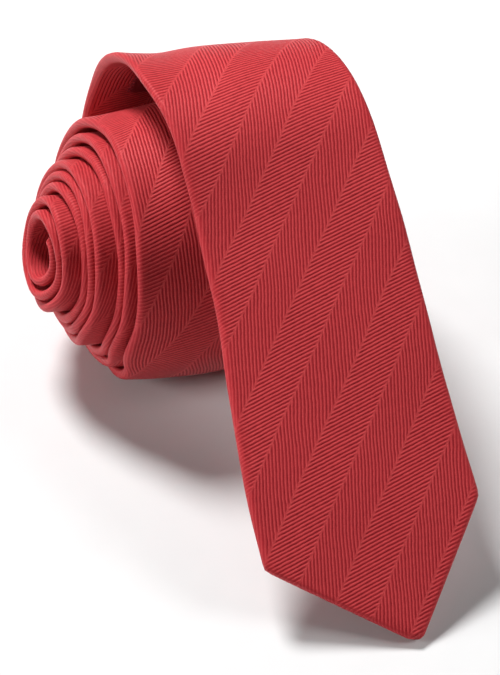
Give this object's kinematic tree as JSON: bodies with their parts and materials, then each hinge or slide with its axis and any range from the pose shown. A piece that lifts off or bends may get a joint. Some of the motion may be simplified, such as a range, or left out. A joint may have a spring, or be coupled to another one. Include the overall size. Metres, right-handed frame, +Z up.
{
  "type": "rolled necktie",
  "caption": "Slim pointed necktie in herringbone cloth, rolled up from the tail, with the front blade drawn over the roll and down to its tip.",
  "frame": {"origin": "middle of the base of the whole part, on the table", "axes": "+Z up, +X along the roll's axis away from its visible end, +Y from the blade's tip towards the roll"},
  "size_m": [0.0908, 0.1738, 0.0897],
  "materials": {
    "shell": "herringbone twill, soft sheen",
    "canvas": "matt brushed wool canvas",
    "lining": "smooth satin",
    "thread": "twisted thread",
    "label": "plain woven tape"
  },
  "bodies": {
    "coil_outer": {"front_panel_coil_outer": "shell", "interlining_coil_outer": "canvas", "slip_stitch_coil_outer": "thread"},
    "arch": {"front_panel_arch": "shell", "interlining_arch": "canvas", "slip_stitch_arch": "thread", "keeper_loop": "shell", "label_blank": "label"},
    "blade_upper": {"front_panel_blade_upper": "shell", "interlining_blade_upper": "canvas", "slip_stitch_blade_upper": "thread"},
    "blade_middle": {"front_panel_blade_middle": "shell", "interlining_blade_middle": "canvas", "slip_stitch_blade_middle": "thread", "tipping_blade_middle": "lining", "bar_tack_blade": "thread"},
    "blade_tip": {"front_panel_blade_tip": "shell", "interlining_blade_tip": "canvas", "tipping_blade_tip": "lining"},
    "coil_middle": {"front_panel_coil_middle": "shell", "neck_panel_coil_middle": "shell", "interlining_coil_middle": "canvas", "slip_stitch_coil_middle": "thread"},
    "coil_inner": {"neck_panel_coil_inner": "shell", "tail_panel_coil_inner": "shell", "interlining_coil_inner": "canvas", "slip_stitch_coil_inner": "thread"},
    "coil_core": {"tail_panel_coil_core": "shell", "interlining_coil_core": "canvas", "slip_stitch_coil_core": "thread", "tipping_tail": "lining", "bar_tack_tail": "thread"}
  },
  "joints": [
    {"name": "arch_lift", "type": "hinge", "parent": "coil_outer", "child": "arch", "pos_m": [0, 0.08694, 0.04437], "axis": [-1, 0, 0], "range_deg": [0, 20]},
    {"name": "blade_lift", "type": "hinge", "parent": "arch", "child": "blade_upper", "pos_m": [0, 0.01499, 0.07775], "axis": [-1, 0, 0], "range_deg": [0, 35]},
    {"name": "blade_bend", "type": "hinge", "parent": "blade_upper", "child": "blade_middle", "pos_m": [0, -0.02038, 0.05158], "axis": [-1, 0, 0], "range_deg": [0, 25]},
    {"name": "tip_curl", "type": "hinge", "parent": "blade_middle", "child": "blade_tip", "pos_m": [0, -0.05415, 0.0266], "axis": [-1, 0, 0], "range_deg": [0, 30]},
    {"name": "middle_turns_slide", "type": "slide", "parent": "coil_outer", "child": "coil_middle", "axis": [1, 0, 0], "range_m": [-0.004, 0.0025]},
    {"name": "inner_turns_slide", "type": "slide", "parent": "coil_middle", "child": "coil_inner", "axis": [1, 0, 0], "range_m": [-0.004, 0.004]},
    {"name": "core_slide", "type": "slide", "parent": "coil_inner", "child": "coil_core", "axis": [1, 0, 0], "range_m": [-0.005, 0.0035]}
  ],
  "couplings": [
    {"joint": "tip_curl", "follows": "blade_bend", "ratio": 1.2}
  ]
}
